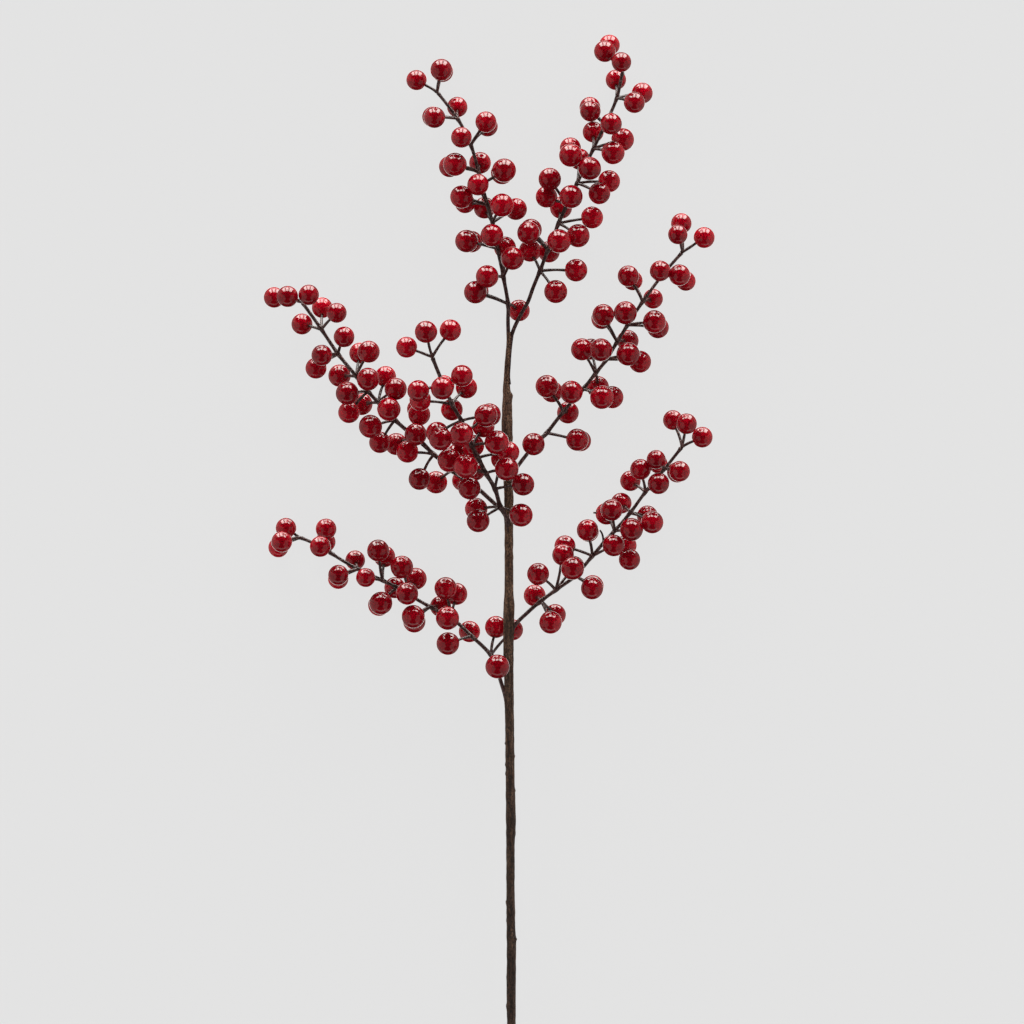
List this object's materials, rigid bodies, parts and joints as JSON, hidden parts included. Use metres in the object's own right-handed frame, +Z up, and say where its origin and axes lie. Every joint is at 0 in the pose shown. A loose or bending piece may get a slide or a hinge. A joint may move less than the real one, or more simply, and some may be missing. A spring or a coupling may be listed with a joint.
{
  "type": "artificial red berry branch",
  "caption": "Leafless decorative branch that lies flat: a paper-wrapped wire stem with thin side twigs, each with whorls of glossy round red berries on short dark stalks.",
  "frame": {"origin": "centre of the bounding box, on the surface that the branch lies on", "axes": "+Y along the stem from its cut end towards the forked tip, +Z up from the surface, +X to the right seen from above"},
  "size_m": [0.248, 0.7016, 0.0787],
  "materials": {
    "berries": "glossy red lacquer on the berries, dull dark brown on the twigs and stalks",
    "wrap": "matte",
    "wire": "dull"
  },
  "bodies": {
    "root": {"main_stem": "wrap", "stem_wire": "wire", "spray_top_fork": "berries", "spray_right_upper": "berries", "spray_left_upper": "berries", "spray_middle": "berries", "spray_left_lower": "berries", "spray_right_lower": "berries"}
  },
  "joints": []
}
